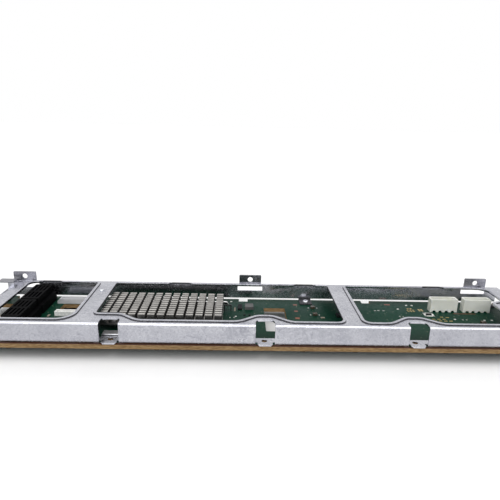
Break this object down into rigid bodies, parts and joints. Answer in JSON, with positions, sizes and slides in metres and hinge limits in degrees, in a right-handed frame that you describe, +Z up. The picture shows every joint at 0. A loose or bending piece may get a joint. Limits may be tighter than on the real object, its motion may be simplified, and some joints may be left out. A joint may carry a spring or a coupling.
{
  "type": "drive backplane board",
  "caption": "Drive backplane board under a folded sheet frame with three windows, screw feet and upright ears, with a pin heatsink, cable connectors, power headers and drive sockets underneath.",
  "frame": {"origin": "under the middle of the board, on the surface that the drive sockets rest on", "axes": "+X along the board to the power headers, +Y from the front wall to the back wall with the ears, +Z up out of the frame's windows"},
  "size_m": [0.43, 0.0848, 0.0349],
  "materials": {
    "anchor_black": "black oxide",
    "blade_grey": "moulded",
    "board_green": "solder mask over glass laminate",
    "can_steel": "plated can",
    "capacitor_tan": "moulded",
    "chip_black": "moulded",
    "clip_steel": "spring wire",
    "coil_grey": "pressed ferrite",
    "connector_black": "moulded, fine texture",
    "contact_gold": "gold plated",
    "header_cream": "natural nylon",
    "header_grey": "moulded",
    "header_white": "moulded",
    "heatsink_alloy": "as machined",
    "lamp_white": "clear resin",
    "pad_grey": "soft pad",
    "pin_tin": "tin plated",
    "resistor_ceramic": "ceramic",
    "screw_steel": "plated",
    "socket_black": "moulded",
    "stud_steel": "plated",
    "zinc_steel": "galvanised, fine spangle"
  },
  "bodies": {
    "root": {"bracket_frame": "zinc_steel", "bulk_capacitors": "capacitor_tan", "cable_blades_front": "blade_grey", "cable_blades_rear": "blade_grey", "cable_connector_front": "connector_black", "cable_connector_rear": "connector_black", "circuit_board": "board_green", "clip_anchors": "anchor_black", "clock_can": "can_steel", "drive_contacts": "contact_gold", "drive_socket_1_1": "socket_black", "drive_socket_1_2": "socket_black", "drive_socket_1_3": "socket_black", "drive_socket_2_1": "socket_black", "drive_socket_2_2": "socket_black", "drive_socket_2_3": "socket_black", "drive_socket_3_1": "socket_black", "drive_socket_3_2": "socket_black", "drive_socket_3_3": "socket_black", "drive_socket_4_1": "socket_black", "drive_socket_4_2": "socket_black", "drive_socket_4_3": "socket_black", "driver_chips": "chip_black", "expander_chip": "chip_black", "frame_screws": "screw_steel", "grey_header": "header_grey", "grey_header_pins": "pin_tin", "heatsink": "heatsink_alloy", "heatsink_clip": "clip_steel", "power_chips": "chip_black", "power_coils": "coil_grey", "power_header_left": "header_cream", "power_header_right": "header_cream", "power_pins_left": "pin_tin", "power_pins_right": "pin_tin", "sense_resistors": "resistor_ceramic", "status_lamps": "lamp_white", "thermal_pad": "pad_grey", "web_stud": "stud_steel", "white_header": "header_white", "white_header_pins": "pin_tin"}
  },
  "joints": []
}
